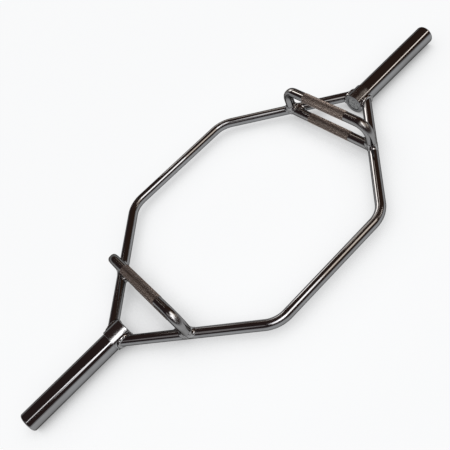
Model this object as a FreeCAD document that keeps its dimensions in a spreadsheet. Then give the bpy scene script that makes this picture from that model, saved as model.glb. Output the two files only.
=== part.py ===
import FreeCAD, Part
import math
import os

import Sketcher
from FreeCAD import Vector

# A hex trap bar: two bent side bars welded to a collar at each end, a plate sleeve in each
# collar, and a straight low grip with a raised grip above it near each end.
# +X runs along the sleeves, +Y to the rear side bar and +Z up. The origin is on the floor
# under the middle of the hexagon, and the bar lies level on its two collars.

# Driving sizes in millimetres, with angles in degrees: name, value, meaning
SIZES = [
    ("frame_width", 574.0, "between the axes of the two straight side runs"),
    ("handle_spacing", 635.0, "between the axes of the two low grips"),
    ("grip_span", 281.0, "along a low grip, between the axes of the two legs that hold it"),
    ("leg_angle", 45.0, "between a leg and the sleeves' axis"),
    ("bar_diameter", 25.4, "round bar of the frame"),
    ("bar_bend_radius", 70.0, "of a side bar's axis at its two corners"),
    ("collar_diameter", 56.0, "outside of a collar"),
    ("collar_length", 46.0, "along the sleeve"),
    ("collar_chamfer", 1.5, "on a collar's two outer edges"),
    ("leg_seat_offset", 2.5, "collar's middle, outwards of where the leg axes meet its wall"),
    ("sleeve_diameter", 50.0, "outside of a sleeve, for plates with a 50 mm hole"),
    ("sleeve_wall", 6.0, "of the sleeve tube"),
    ("sleeve_load_length", 254.0, "of a sleeve beyond its collar"),
    ("sleeve_end_radius", 4.0, "rounding of a sleeve's outer edge"),
    ("sleeve_seat_step", 0.5, "how far a sleeve is turned down inside its collar"),
    ("seat_clearance", 0.05, "radial gap of a sleeve in its collar and of a plug in its sleeve"),
    ("inner_plug_thickness", 6.0, "disc at a sleeve's inner end"),
    ("outer_plug_thickness", 8.0, "disc at a sleeve's outer end"),
    ("plug_recess", 1.0, "how far a plug sits inside the end of its sleeve"),
    ("plug_chamfer", 1.0, "round a plug's outer face"),
    ("handle_diameter", 25.2, "smooth part of every grip"),
    ("handle_rise", 73.0, "of a raised grip's axis above the low one"),
    ("raised_bend_radius", 34.0, "of a raised grip's axis at its two corners"),
    ("smooth_end", 36.5, "of every grip, between its knurled band and the raised grip's bend"),
    ("knurl_height", 0.6, "how far a knurled band stands proud"),
    ("collar_weld_size", 4.0, "reach of the beads between legs and collars"),
    ("handle_weld_size", 3.0, "reach of the beads between grips and legs"),
]

# Places worked out from the driving sizes
AXIS_HEIGHT = "Sizes.collar_diameter / 2"
BAR_RADIUS = "Sizes.bar_diameter / 2"
COLLAR_RADIUS = "Sizes.collar_diameter / 2"
SLEEVE_RADIUS = "Sizes.sleeve_diameter / 2"
SEAT_RADIUS = f"({SLEEVE_RADIUS} - Sizes.sleeve_seat_step)"
SLEEVE_BORE = f"({SLEEVE_RADIUS} - Sizes.sleeve_wall)"
GRIP_RADIUS = "Sizes.handle_diameter / 2"
GRIP_X = "Sizes.handle_spacing / 2"
HALF_WIDTH = "Sizes.frame_width / 2"
FOOT_Y = "(Sizes.grip_span / 2)"
KNURL_HALF = f"({FOOT_Y} - Sizes.raised_bend_radius - Sizes.smooth_end)"
LEG_CROSS_X = f"({GRIP_X} + {FOOT_Y} / tan(Sizes.leg_angle))"
CORNER_X = f"({LEG_CROSS_X} - {HALF_WIDTH} / tan(Sizes.leg_angle))"
LEG_LENGTH = f"({HALF_WIDTH} / sin(Sizes.leg_angle))"
COLLAR_MIDDLE_X = f"({LEG_CROSS_X} - {COLLAR_RADIUS} / tan(Sizes.leg_angle) + Sizes.leg_seat_offset)"
COLLAR_INNER_X = f"({COLLAR_MIDDLE_X} - Sizes.collar_length / 2)"
COLLAR_OUTER_X = f"({COLLAR_MIDDLE_X} + Sizes.collar_length / 2)"
SLEEVE_END_X = f"({COLLAR_OUTER_X} + Sizes.sleeve_load_length)"

# How near an edge has to lie to where it is looked for, in millimetres
EDGE_TOLERANCE = 1e-4

doc = FreeCAD.newDocument("HexTrapBar")
sheet = doc.addObject("Spreadsheet::Sheet", "Sizes")
for row, (name, size, meaning) in enumerate(SIZES, start=1):
    sheet.set(f"A{row}", name)
    sheet.set(f"B{row}", str(size))
    sheet.setAlias(f"B{row}", name)
    sheet.set(f"C{row}", meaning)
doc.recompute()

nodes = []


def number(expression):
    """The present value of an expression over the sheet, to draw a sketch near its solution."""
    return float(sheet.evalExpression(expression))


def place_node(piece, turn):
    """Lift a finished piece from the frame's plane to its height, and turn it to its end of the bar."""
    piece.setExpression(
        "Placement",
        f"placement(vector(0; 0; {AXIS_HEIGHT}); rotation(vector(0; 0; 1); {turn}))",
    )
    nodes.append(piece)


def new_body(label):
    """A body with its label."""
    body = doc.addObject("PartDesign::Body", label)
    body.Label = label
    return body


def origin_plane(body, role):
    """One of a body's own origin planes."""
    return next(plane for plane in body.Origin.OriginFeatures if plane.Role == role)


def new_sketch(body, name, role, offset="0"):
    """A sketch on one of the body's origin planes, moved along the plane's normal."""
    sketch = body.newObject("Sketcher::SketchObject", name)
    sketch.AttachmentSupport = [(origin_plane(body, role), "")]
    sketch.MapMode = "FlatFace"
    sketch.setExpression("AttachmentOffset.Base.z", offset)
    return sketch


def bind(sketch, name, constraint, expression):
    """Add a named dimension to a sketch and tie it to the sheet."""
    sketch.renameConstraint(sketch.addConstraint(constraint), name)
    sketch.setExpression(f"Constraints.{name}", expression)


def draw_outline(sketch, corners):
    """A closed outline through corners, each given by two positive expressions.

    An along or a radius of None puts the corner on that axis of the sketch.
    """
    points = [Vector(number(along or "0"), number(radius or "0"), 0) for along, radius in corners]
    for index, point in enumerate(points):
        sketch.addGeometry(Part.LineSegment(point, points[(index + 1) % len(points)]))
    for index, (along, radius) in enumerate(corners):
        previous = (index - 1) % len(points)
        sketch.addConstraint(Sketcher.Constraint("Coincident", previous, 2, index, 1))
        if along is None:
            sketch.addConstraint(Sketcher.Constraint("PointOnObject", index, 1, -2))
        else:
            corner_along = Sketcher.Constraint("DistanceX", -1, 1, index, 1, points[index].x)
            bind(sketch, f"along_{index}", corner_along, along)
        if radius is None:
            sketch.addConstraint(Sketcher.Constraint("PointOnObject", index, 1, -1))
        else:
            corner_radius = Sketcher.Constraint("DistanceY", -1, 1, index, 1, points[index].y)
            bind(sketch, f"radius_{index}", corner_radius, radius)


def draw_circle(sketch, diameter, along=None, up=None):
    """A circle whose centre stands at two positive expressions, or on an axis where one is None."""
    centre = Vector(number(along or "0"), number(up or "0"), 0)
    sketch.addGeometry(Part.Circle(centre, Vector(0, 0, 1), number(diameter) / 2))
    bind(sketch, "diameter", Sketcher.Constraint("Diameter", 0, number(diameter)), diameter)
    if along is None:
        sketch.addConstraint(Sketcher.Constraint("PointOnObject", 0, 3, -2))
    else:
        bind(sketch, "along", Sketcher.Constraint("DistanceX", -1, 1, 0, 3, centre.x), along)
    if up is None:
        sketch.addConstraint(Sketcher.Constraint("PointOnObject", 0, 3, -1))
    else:
        bind(sketch, "up", Sketcher.Constraint("DistanceY", -1, 1, 0, 3, centre.y), up)


def spin(body, name, sketch, axis):
    """Spin a half section right round one axis of its sketch."""
    turned = body.newObject("PartDesign::Revolution", name)
    turned.Profile = sketch
    turned.ReferenceAxis = (sketch, [axis])
    turned.Angle = 360
    return turned


def sweep_and_mirror(body, name, profile, path, role):
    """Carry a round section along half of a bent bar, and mirror it to the other half."""
    half = body.newObject("PartDesign::AdditivePipe", name)
    half.Profile = profile
    half.Spine = (path, ["Edge1", "Edge2", "Edge3"])
    whole = body.newObject("PartDesign::Mirrored", name + "Mirrored")
    whole.Originals = [half]
    whole.MirrorPlane = (origin_plane(body, role), [""])
    body.Tip = whole


def leg_placement(side):
    """Where a leg's axis leaves the sleeves' axis, and how it runs out to +Y (side 1) or -Y (side -1)."""
    across = f"vector({-side} * sin(Sizes.leg_angle); -cos(Sizes.leg_angle); 0)"
    return f"placement(vector({LEG_CROSS_X}; 0; 0); rotation({across}; 90))"


def along_y(start):
    """Where a cylinder or cone of a grip starts, and how it runs along +Y."""
    return f"placement(vector({GRIP_X}; {start}; 0); rotation(vector(1; 0; 0); -90))"


def upright(side, start="0"):
    """Where a cylinder or cone of a raised grip's foot starts, and how it runs up."""
    return f"placement(vector({GRIP_X}; {side} * {FOOT_Y}; {start}); rotation(vector(0; 0; 1); 0))"


def cope(body, name, radius, length, placement):
    """Cut the shape of a round bar out of a body, so that the body seats on that bar."""
    cutter = body.newObject("PartDesign::SubtractiveCylinder", name)
    cutter.setExpression("Radius", radius)
    cutter.setExpression("Height", length)
    cutter.setExpression("Placement", placement)


def cylinder(name, radius, length, placement):
    """A cylinder tied to the sheet."""
    solid = doc.addObject("Part::Cylinder", name)
    solid.setExpression("Radius", radius)
    solid.setExpression("Height", length)
    solid.setExpression("Placement", placement)
    return solid


def cone(name, start_radius, end_radius, length, placement):
    """A cone tied to the sheet."""
    solid = doc.addObject("Part::Cone", name)
    solid.setExpression("Radius1", start_radius)
    solid.setExpression("Radius2", end_radius)
    solid.setExpression("Height", length)
    solid.setExpression("Placement", placement)
    return solid


def fuse(name, solids):
    """Several solids as one."""
    joined = doc.addObject("Part::MultiFuse", name)
    joined.Shapes = solids
    return joined


def common(name, first, second):
    """What two solids share."""
    shared = doc.addObject("Part::Common", name)
    shared.Base = first
    shared.Tool = second
    return shared


def cut(name, base, tool):
    """One solid without another."""
    rest = doc.addObject("Part::Cut", name)
    rest.Base = base
    rest.Tool = tool
    return rest


def make_side_bar(label, turn):
    """A long bar of the hexagon: a straight run, two bends, and two legs coped to the collars."""
    body = new_body(label)
    angle = math.radians(number("Sizes.leg_angle"))
    radius = number("Sizes.bar_bend_radius")
    corner = Vector(number(CORNER_X), -number(HALF_WIDTH), 0)
    tangent = radius * math.tan(angle / 2)
    bend_start = corner - Vector(tangent, 0, 0)
    bend_end = corner + Vector(math.cos(angle), math.sin(angle), 0) * tangent
    bend_circle = Part.Circle(bend_start + Vector(0, radius, 0), Vector(0, 0, 1), radius)
    leg_end = Vector(number(LEG_CROSS_X), 0, 0)

    path = new_sketch(body, label + "_path", "XY_Plane")
    path.addGeometry(Part.LineSegment(Vector(0, corner.y, 0), bend_start))
    path.addGeometry(Part.ArcOfCircle(bend_circle, -math.pi / 2, angle - math.pi / 2))
    path.addGeometry(Part.LineSegment(bend_end, leg_end))
    path.addConstraint(Sketcher.Constraint("PointOnObject", 0, 1, -2))
    path.addConstraint(Sketcher.Constraint("Horizontal", 0))
    path.addConstraint(Sketcher.Constraint("Tangent", 0, 2, 1, 1))
    path.addConstraint(Sketcher.Constraint("Tangent", 1, 2, 2, 1))
    path.addConstraint(Sketcher.Constraint("PointOnObject", 2, 2, -1))
    bind(path, "half_width", Sketcher.Constraint("DistanceY", 0, 1, -1, 1, -corner.y), HALF_WIDTH)
    bind(path, "bend_radius", Sketcher.Constraint("Radius", 1, radius), "Sizes.bar_bend_radius")
    bind(path, "leg_cross", Sketcher.Constraint("DistanceX", -1, 1, 2, 2, leg_end.x), LEG_CROSS_X)
    bind(path, "leg_angle", Sketcher.Constraint("Angle", 2, angle), "Sizes.leg_angle * 1 deg")

    section = new_sketch(body, label + "_section", "YZ_Plane")
    section.addGeometry(Part.Circle(Vector(corner.y, 0, 0), Vector(0, 0, 1), number(BAR_RADIUS)))
    section.addConstraint(Sketcher.Constraint("PointOnObject", 0, 3, -1))
    bind(section, "half_width", Sketcher.Constraint("DistanceX", 0, 3, -1, 1, -corner.y), HALF_WIDTH)
    diameter = number("Sizes.bar_diameter")
    bind(section, "diameter", Sketcher.Constraint("Diameter", 0, diameter), "Sizes.bar_diameter")
    sweep_and_mirror(body, label + "_bar", section, path, "YZ_Plane")

    collar_wall = new_sketch(body, label + "_collar_wall", "YZ_Plane")
    draw_circle(collar_wall, "Sizes.collar_diameter")
    collar_cope = body.newObject("PartDesign::Pocket", label + "_collar_cope")
    collar_cope.Profile = collar_wall
    collar_cope.Type = "ThroughAll"
    collar_cope.SideType = "Symmetric"
    place_node(body, turn)


def make_collar(label, turn):
    """A turned ring that takes the end of a sleeve and the two legs."""
    body = new_body(label)
    section = new_sketch(body, label + "_section", "XZ_Plane")
    bore = f"{SEAT_RADIUS} + Sizes.seat_clearance"
    shoulder = f"{COLLAR_RADIUS} - Sizes.collar_chamfer"
    draw_outline(section, [
        (COLLAR_INNER_X, bore),
        (COLLAR_INNER_X, shoulder),
        (f"{COLLAR_INNER_X} + Sizes.collar_chamfer", COLLAR_RADIUS),
        (f"{COLLAR_OUTER_X} - Sizes.collar_chamfer", COLLAR_RADIUS),
        (COLLAR_OUTER_X, shoulder),
        (COLLAR_OUTER_X, bore),
    ])
    spin(body, label + "_ring", section, "H_Axis")
    place_node(body, turn)


def make_sleeve(label, turn):
    """The tube that plates slide on, turned down inside its collar and rounded at its outer edge."""
    body = new_body(label)
    section = new_sketch(body, label + "_section", "XZ_Plane")
    draw_outline(section, [
        (COLLAR_INNER_X, SLEEVE_BORE),
        (COLLAR_INNER_X, SEAT_RADIUS),
        (COLLAR_OUTER_X, SEAT_RADIUS),
        (COLLAR_OUTER_X, SLEEVE_RADIUS),
        (SLEEVE_END_X, SLEEVE_RADIUS),
        (SLEEVE_END_X, SLEEVE_BORE),
    ])
    tube = spin(body, label + "_tube", section, "H_Axis")
    doc.recompute()
    end_edge = next(
        f"Edge{index}"
        for index, edge in enumerate(tube.Shape.Edges, start=1)
        if edge.Closed
        and abs(edge.BoundBox.XMin - number(SLEEVE_END_X)) < EDGE_TOLERANCE
        and abs(edge.BoundBox.XMax - number(SLEEVE_END_X)) < EDGE_TOLERANCE
        and abs(edge.BoundBox.ZMax - number(SLEEVE_RADIUS)) < EDGE_TOLERANCE
    )
    rounded = body.newObject("PartDesign::Fillet", label + "_rounded_end")
    rounded.Base = (tube, [end_edge])
    rounded.setExpression("Radius", "Sizes.sleeve_end_radius")
    place_node(body, turn)


def make_plug(label, turn, back_x, face_x, chamfer_x):
    """A disc that closes a sleeve's bore, chamfered round the face that shows."""
    body = new_body(label)
    section = new_sketch(body, label + "_section", "XZ_Plane")
    radius = f"({SLEEVE_BORE} - Sizes.seat_clearance)"
    draw_outline(section, [
        (back_x, None),
        (back_x, radius),
        (chamfer_x, radius),
        (face_x, f"{radius} - Sizes.plug_chamfer"),
        (face_x, None),
    ])
    spin(body, label + "_disc", section, "H_Axis")
    place_node(body, turn)


def make_low_handle(label, turn):
    """The straight grip between two legs, with a knurled band and ends coped to the legs."""
    body = new_body(label)
    section = new_sketch(body, label + "_section", "XY_Plane")
    section.setExpression("AttachmentOffset.Base.x", GRIP_X)
    draw_outline(section, [
        (None, None),
        (f"{GRIP_RADIUS} + Sizes.knurl_height", None),
        (f"{GRIP_RADIUS} + Sizes.knurl_height", f"{KNURL_HALF} - Sizes.knurl_height"),
        (GRIP_RADIUS, KNURL_HALF),
        (GRIP_RADIUS, FOOT_Y),
        (None, FOOT_Y),
    ])
    half = spin(body, label + "_half", section, "V_Axis")
    whole = body.newObject("PartDesign::Mirrored", label + "_both_halves")
    whole.Originals = [half]
    whole.MirrorPlane = (origin_plane(body, "XZ_Plane"), [""])
    body.Tip = whole
    doc.recompute()
    cope(body, label + "_cope_a", BAR_RADIUS, LEG_LENGTH, leg_placement(1))
    cope(body, label + "_cope_b", BAR_RADIUS, LEG_LENGTH, leg_placement(-1))
    place_node(body, turn)


def make_raised_handle(label, turn):
    """The U-bent grip above a low one, with a knurled band and feet coped to the legs and the low grip."""
    body = new_body(label)
    radius = number("Sizes.raised_bend_radius")
    rise = number("Sizes.handle_rise")
    foot = number(FOOT_Y)
    bend_circle = Part.Circle(Vector(foot - radius, rise - radius, 0), Vector(0, 0, 1), radius)

    path = new_sketch(body, label + "_path", "YZ_Plane", GRIP_X)
    path.addGeometry(Part.LineSegment(Vector(0, rise, 0), Vector(foot - radius, rise, 0)))
    path.addGeometry(Part.ArcOfCircle(bend_circle, 0, math.pi / 2))
    path.addGeometry(Part.LineSegment(Vector(foot, rise - radius, 0), Vector(foot, 0, 0)))
    path.addConstraint(Sketcher.Constraint("PointOnObject", 0, 1, -2))
    path.addConstraint(Sketcher.Constraint("Horizontal", 0))
    path.addConstraint(Sketcher.Constraint("Vertical", 2))
    path.addConstraint(Sketcher.Constraint("Tangent", 0, 2, 1, 2))
    path.addConstraint(Sketcher.Constraint("Tangent", 1, 1, 2, 1))
    path.addConstraint(Sketcher.Constraint("PointOnObject", 2, 2, -1))
    bind(path, "rise", Sketcher.Constraint("DistanceY", -1, 1, 0, 1, rise), "Sizes.handle_rise")
    bind(path, "bend_radius", Sketcher.Constraint("Radius", 1, radius), "Sizes.raised_bend_radius")
    bind(path, "foot", Sketcher.Constraint("DistanceX", -1, 1, 2, 2, foot), FOOT_Y)

    section = new_sketch(body, label + "_section", "XZ_Plane")
    draw_circle(section, "Sizes.handle_diameter", GRIP_X, "Sizes.handle_rise")
    sweep_and_mirror(body, label + "_bar", section, path, "XZ_Plane")

    knurl = new_sketch(body, label + "_knurl_section", "XY_Plane", "Sizes.handle_rise")
    knurl.setExpression("AttachmentOffset.Base.x", GRIP_X)
    draw_outline(knurl, [
        (None, None),
        (f"{GRIP_RADIUS} + Sizes.knurl_height", None),
        (f"{GRIP_RADIUS} + Sizes.knurl_height", f"{KNURL_HALF} - Sizes.knurl_height"),
        (GRIP_RADIUS, KNURL_HALF),
        (None, KNURL_HALF),
    ])
    half_band = spin(body, label + "_half_band", knurl, "V_Axis")
    whole_band = body.newObject("PartDesign::Mirrored", label + "_whole_band")
    whole_band.Originals = [half_band]
    whole_band.MirrorPlane = (origin_plane(body, "XZ_Plane"), [""])
    body.Tip = whole_band
    doc.recompute()
    cope(body, label + "_cope_a", BAR_RADIUS, LEG_LENGTH, leg_placement(1))
    cope(body, label + "_cope_b", BAR_RADIUS, LEG_LENGTH, leg_placement(-1))
    cope(body, label + "_cope_grip", GRIP_RADIUS, f"2 * {FOOT_Y}", along_y(f"-{FOOT_Y}"))
    place_node(body, turn)


def make_collar_weld(label, turn, side):
    """The bead round a leg at its collar: what lies within reach of both walls and in neither."""
    reach = "Sizes.collar_weld_size"
    bead_start = f"{COLLAR_INNER_X} + Sizes.collar_chamfer"
    bead_length = "Sizes.collar_length - 2 * Sizes.collar_chamfer"
    along_collar = f"placement(vector({bead_start}; 0; 0); rotation(vector(0; 1; 0); 90))"
    leg = cylinder(label + "_leg", BAR_RADIUS, LEG_LENGTH, leg_placement(side))
    near_leg = cylinder(label + "_near_leg", f"{BAR_RADIUS} + {reach}", LEG_LENGTH, leg_placement(side))
    collar = cylinder(label + "_collar", COLLAR_RADIUS, bead_length, along_collar)
    near_collar = cylinder(label + "_near_collar", f"{COLLAR_RADIUS} + {reach}", bead_length, along_collar)
    bead = common(label + "_bead", near_leg, near_collar)
    place_node(cut(label, bead, fuse(label + "_bars", [leg, collar])), turn)


def make_handle_weld(label, turn, side):
    """The bead where a low grip, a raised grip's foot and a leg meet: near two of them and in none.

    The reach falls to nothing where a grip's wall runs alongside the leg's.
    """
    reach = "Sizes.handle_weld_size"
    grown = f"{GRIP_RADIUS} + {reach}"
    run = "Sizes.bar_diameter"
    leg = cylinder(label + "_leg", BAR_RADIUS, LEG_LENGTH, leg_placement(side))
    near_leg = cylinder(label + "_near_leg", f"{BAR_RADIUS} + {reach}", LEG_LENGTH, leg_placement(side))
    foot = cylinder(label + "_foot", GRIP_RADIUS, f"2 * {run}", upright(side))
    near_foot = fuse(label + "_near_foot", [
        cone(label + "_foot_flare", GRIP_RADIUS, grown, BAR_RADIUS, upright(side)),
        cylinder(label + "_foot_ring", grown, f"{BAR_RADIUS} + {reach}", upright(side, BAR_RADIUS)),
    ])
    if side > 0:
        grip_start = f"({FOOT_Y} - 2 * {run})"
        ring_start = grip_start
        flare_start = f"({FOOT_Y} - {BAR_RADIUS})"
        flare_radii = (grown, GRIP_RADIUS)
    else:
        grip_start = f"-{FOOT_Y}"
        ring_start = f"({BAR_RADIUS} - {FOOT_Y})"
        flare_start = f"-{FOOT_Y}"
        flare_radii = (GRIP_RADIUS, grown)
    grip = cylinder(label + "_grip", GRIP_RADIUS, f"2 * {run}", along_y(grip_start))
    near_grip = fuse(label + "_near_grip", [
        cylinder(label + "_grip_ring", grown, f"2 * {run} - {BAR_RADIUS}", along_y(ring_start)),
        cone(label + "_grip_flare", *flare_radii, BAR_RADIUS, along_y(flare_start)),
    ])
    bead = fuse(label + "_bead", [
        common(label + "_grip_to_leg", near_grip, near_leg),
        common(label + "_foot_to_leg", near_foot, near_leg),
        common(label + "_foot_to_grip", near_foot, near_grip),
    ])
    place_node(cut(label, bead, fuse(label + "_bars", [leg, foot, grip])), turn)


make_side_bar("front_side_bar", 0)
make_side_bar("rear_side_bar", 180)

# Each end is drawn at +X and turned to its place, so its +Y side is the rear at the right end
# and the front at the left end.
ENDS = [
    ("right", 0, {1: "rear", -1: "front"}),
    ("left", 180, {1: "front", -1: "rear"}),
]
for end, turn, side_names in ENDS:
    make_collar(f"{end}_collar", turn)
    make_sleeve(f"{end}_sleeve", turn)
    inner_face = f"({COLLAR_INNER_X} + Sizes.plug_recess)"
    outer_face = f"({SLEEVE_END_X} - Sizes.plug_recess)"
    make_plug(
        f"{end}_inner_plug", turn,
        f"{inner_face} + Sizes.inner_plug_thickness", inner_face, f"{inner_face} + Sizes.plug_chamfer",
    )
    make_plug(
        f"{end}_outer_plug", turn,
        f"{outer_face} - Sizes.outer_plug_thickness", outer_face, f"{outer_face} - Sizes.plug_chamfer",
    )
    make_low_handle(f"{end}_low_handle", turn)
    make_raised_handle(f"{end}_raised_handle", turn)
    for side, side_name in side_names.items():
        make_collar_weld(f"{end}_{side_name}_collar_weld", turn, side)
        make_handle_weld(f"{end}_{side_name}_handle_weld", turn, side)

doc.recompute()
for item in doc.Objects:
    if "Invalid" in item.State or "Error" in item.State:
        raise RuntimeError(f"{item.Name} failed: {item.State}")
for node in nodes:
    if node.Shape.isNull() or not node.Shape.isValid():
        raise RuntimeError(f"{node.Label} has no valid shape")
    if len(node.Shape.Solids) != 1:
        raise RuntimeError(f"{node.Label} has {len(node.Shape.Solids)} solids")

os.makedirs("parts", exist_ok=True)
for node in nodes:
    node.Shape.exportStep(f"parts/{node.Label}.step")
    print(f"{node.Label}: {node.Shape.Volume:.0f} mm3")
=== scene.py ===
"""A hex trap bar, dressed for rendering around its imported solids.

Bars, grips, collars, sleeves, end discs and weld beads are worked out again as fine surfaces in the
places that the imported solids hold. Lengths are in metres, +X runs along the sleeves and +Z up.
"""

import logging
import math
from dataclasses import dataclass, replace
from enum import Enum

import bpy
import numpy as np
from mathutils import Matrix, Vector


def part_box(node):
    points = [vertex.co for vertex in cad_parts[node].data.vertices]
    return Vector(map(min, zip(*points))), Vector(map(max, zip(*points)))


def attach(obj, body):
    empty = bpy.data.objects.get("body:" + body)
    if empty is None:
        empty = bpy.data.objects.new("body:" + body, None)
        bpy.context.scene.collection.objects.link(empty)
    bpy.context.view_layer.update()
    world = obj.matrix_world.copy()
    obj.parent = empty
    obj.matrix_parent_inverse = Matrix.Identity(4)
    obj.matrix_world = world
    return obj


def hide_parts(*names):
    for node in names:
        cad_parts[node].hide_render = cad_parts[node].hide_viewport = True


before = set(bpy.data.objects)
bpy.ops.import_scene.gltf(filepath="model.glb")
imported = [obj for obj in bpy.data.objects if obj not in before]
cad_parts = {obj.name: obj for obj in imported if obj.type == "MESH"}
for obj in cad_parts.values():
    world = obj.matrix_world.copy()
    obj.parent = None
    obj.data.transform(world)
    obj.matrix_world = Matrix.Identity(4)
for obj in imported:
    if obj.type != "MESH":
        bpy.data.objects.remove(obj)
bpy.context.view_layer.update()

LOG = logging.getLogger("hex_trap_bar")
MM = 0.001
TURN = 2 * math.pi
ALONG = np.array([1.0, 0.0, 0.0])
ACROSS = np.array([0.0, 1.0, 0.0])
UP = np.array([0.0, 0.0, 1.0])
BODY = "root"
# Decimal places of the metres that are read from the frame.
PLACES = 4
# Turn, in radians, up to which a line counts as straight.
STRAIGHT = 1e-9
# Watts of a square metre of lamp whose radiance is one.
LAMP_WATTS = 4.0
# Attributes of a mesh's points that finishes read.
GRAIN = "grain"
CREST = "crest"
BEND = "bend"

Pair = tuple[float, float]
Triple = tuple[float, float, float]
Colour = Triple
Place = Triple
Socket = bpy.types.NodeSocket
SocketValue = Socket | float | tuple[float, ...]


class Slot(Enum):
    """The record's material slots."""

    POLISHED = "polished_chrome"
    TURNED = "turned_chrome"
    KNURLED = "knurled_chrome"
    WELD = "weld_chrome"


class Half(Enum):
    """A half of the bar, with the sign of the coordinate that tells it from the other half."""

    @property
    def label(self) -> str:
        """The word that names of pieces hold."""
        return self.name.lower()


class End(Half):
    """The two ends of the bar, with the sign of their X."""

    LEFT = -1
    RIGHT = 1


class Side(Half):
    """The two long sides of the hexagon, with the sign of their Y."""

    FRONT = -1
    REAR = 1


@dataclass(frozen=True)
class Layout:
    """Places that several pieces share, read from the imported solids.

    Attributes:
        axis_height: height of the sleeves' axis and of the frame's plane.
        bar_radius: of the frame's round bar.
        half_width: from the middle to the axis of a side run.
        collar_radius: outside of a collar.
        collar_inner: X of a collar's inner face.
        collar_outer: X of a collar's outer face.
        sleeve_radius: outside of a sleeve.
        sleeve_end: X of a sleeve's outer end.
        grip_x: X of a grip's axis.
        crest_radius: of a grip over its knurl.
        foot_y: Y of a raised grip's foot, where the leg's axis passes under it.
        rise: of a raised grip's axis above the low one.
        knurl_height: of the knurl's crests over the smooth grip.
        leg_angle: between a leg and the sleeves' axis, in radians.
    """

    axis_height: float
    bar_radius: float
    half_width: float
    collar_radius: float
    collar_inner: float
    collar_outer: float
    sleeve_radius: float
    sleeve_end: float
    grip_x: float
    crest_radius: float
    foot_y: float
    rise: float
    knurl_height: float
    leg_angle: float

    @classmethod
    def from_frame(cls, knurl_height: float = 0.6 * MM, leg_angle: float = math.radians(45)) -> "Layout":
        """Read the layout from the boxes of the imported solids, to a tenth of a millimetre.

        Args:
            knurl_height: of the knurl's crests over the smooth grip.
            leg_angle: between a leg and the sleeves' axis, in radians.

        Returns:
            The layout.
        """
        side_low, side_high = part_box("front_side_bar")
        collar_low, collar_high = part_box("right_collar")
        sleeve_low, sleeve_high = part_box("right_sleeve")
        low_low, low_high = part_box("right_low_handle")
        _, raised_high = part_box("right_raised_handle")
        bar_radius = (side_high.z - side_low.z) / 2
        axis_height = (collar_high.z + collar_low.z) / 2
        crest_radius = (low_high.x - low_low.x) / 2
        places = {
            "axis_height": axis_height,
            "bar_radius": bar_radius,
            "half_width": -side_low.y - bar_radius,
            "collar_radius": (collar_high.z - collar_low.z) / 2,
            "collar_inner": collar_low.x,
            "collar_outer": collar_high.x,
            "sleeve_radius": (sleeve_high.z - sleeve_low.z) / 2,
            "sleeve_end": sleeve_high.x,
            "grip_x": (low_low.x + low_high.x) / 2,
            "crest_radius": crest_radius,
            "foot_y": raised_high.y - crest_radius + knurl_height,
            "rise": raised_high.z - crest_radius - axis_height,
        }
        rounded = {name: round(value, PLACES) for name, value in places.items()}
        return cls(knurl_height=knurl_height, leg_angle=leg_angle, **rounded)

    @property
    def grip_radius(self) -> float:
        """Radius of a grip where it is smooth."""
        return self.crest_radius - self.knurl_height

    @property
    def leg_cross(self) -> float:
        """X at which the axes of an end's two legs cross the sleeves' axis."""
        return self.grip_x + self.foot_y / math.tan(self.leg_angle)

    @property
    def corner_x(self) -> float:
        """X of a side bar's corner, before it is rounded."""
        return self.leg_cross - self.half_width / math.tan(self.leg_angle)

    def leg_to_collar(self, turn: np.ndarray, radius: float) -> np.ndarray:
        """Distance from the legs' crossing, along a leg, to a cylinder about the sleeves' axis.

        A point of the leg's wall at angle a stands bar_radius cos a outwards of the leg's axis and
        bar_radius sin a above it, so its distance follows from y * y + z * z = radius * radius.

        Args:
            turn: angles round the leg, from the outward direction in the frame's plane.
            radius: of the cylinder.

        Returns:
            The distances, one for each angle.
        """
        outwards = self.bar_radius * np.cos(turn) * math.cos(self.leg_angle)
        reach = np.sqrt(radius**2 - (self.bar_radius * np.sin(turn)) ** 2)
        return (reach - outwards) / math.sin(self.leg_angle)


def unit(vectors: np.ndarray) -> np.ndarray:
    """Vectors of length one, along the last axis."""
    return vectors / np.linalg.norm(vectors, axis=-1, keepdims=True)


def angles(count: int) -> np.ndarray:
    """Evenly spaced angles of one turn, without the last one that closes it."""
    return np.arange(count) * TURN / count


def circled(radius: np.ndarray, turn: np.ndarray) -> tuple[np.ndarray, np.ndarray]:
    """The two coordinates of points on circles: radius cos a and radius sin a."""
    return radius * np.cos(turn), radius * np.sin(turn)


@dataclass(frozen=True)
class Line:
    """A sampled plane curve.

    Attributes:
        points: places on the curve, of shape (n, 2).
        tangents: unit directions, of shape (n, 2).
        lengths: distance along the curve, of shape (n,).
    """

    points: np.ndarray
    tangents: np.ndarray
    lengths: np.ndarray


@dataclass(frozen=True)
class Plane:
    """The plane that a line is drawn in.

    Attributes:
        origin: of shape (3,).
        first: unit direction of the line's first coordinate.
        second: unit direction of the line's second coordinate.
    """

    origin: np.ndarray
    first: np.ndarray
    second: np.ndarray

    @property
    def normal(self) -> np.ndarray:
        """Unit direction across the plane."""
        return np.cross(self.first, self.second)

    def directions(self, flat: np.ndarray) -> np.ndarray:
        """Directions in space, of shape (n, 3), for directions in the plane."""
        return flat[:, :1] * self.first + flat[:, 1:] * self.second

    def places(self, flat: np.ndarray) -> np.ndarray:
        """Places in space, of shape (n, 3), for places in the plane."""
        return self.origin + self.directions(flat)


def stations(length: float, step: float, guard: float) -> np.ndarray:
    """Distances along a straight run: about a step apart, with one more close to each end.

    Args:
        length: of the run.
        step: about the most between two stations.
        guard: from each end to the station that keeps the run's shading straight, at most a third of it.

    Returns:
        The distances, from 0 to the length.
    """
    guard = min(guard, length / 3)
    inner = np.linspace(guard, length - guard, max(2, math.ceil(length / step)))
    return np.concatenate([[0.0], inner, [length]])


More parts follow.
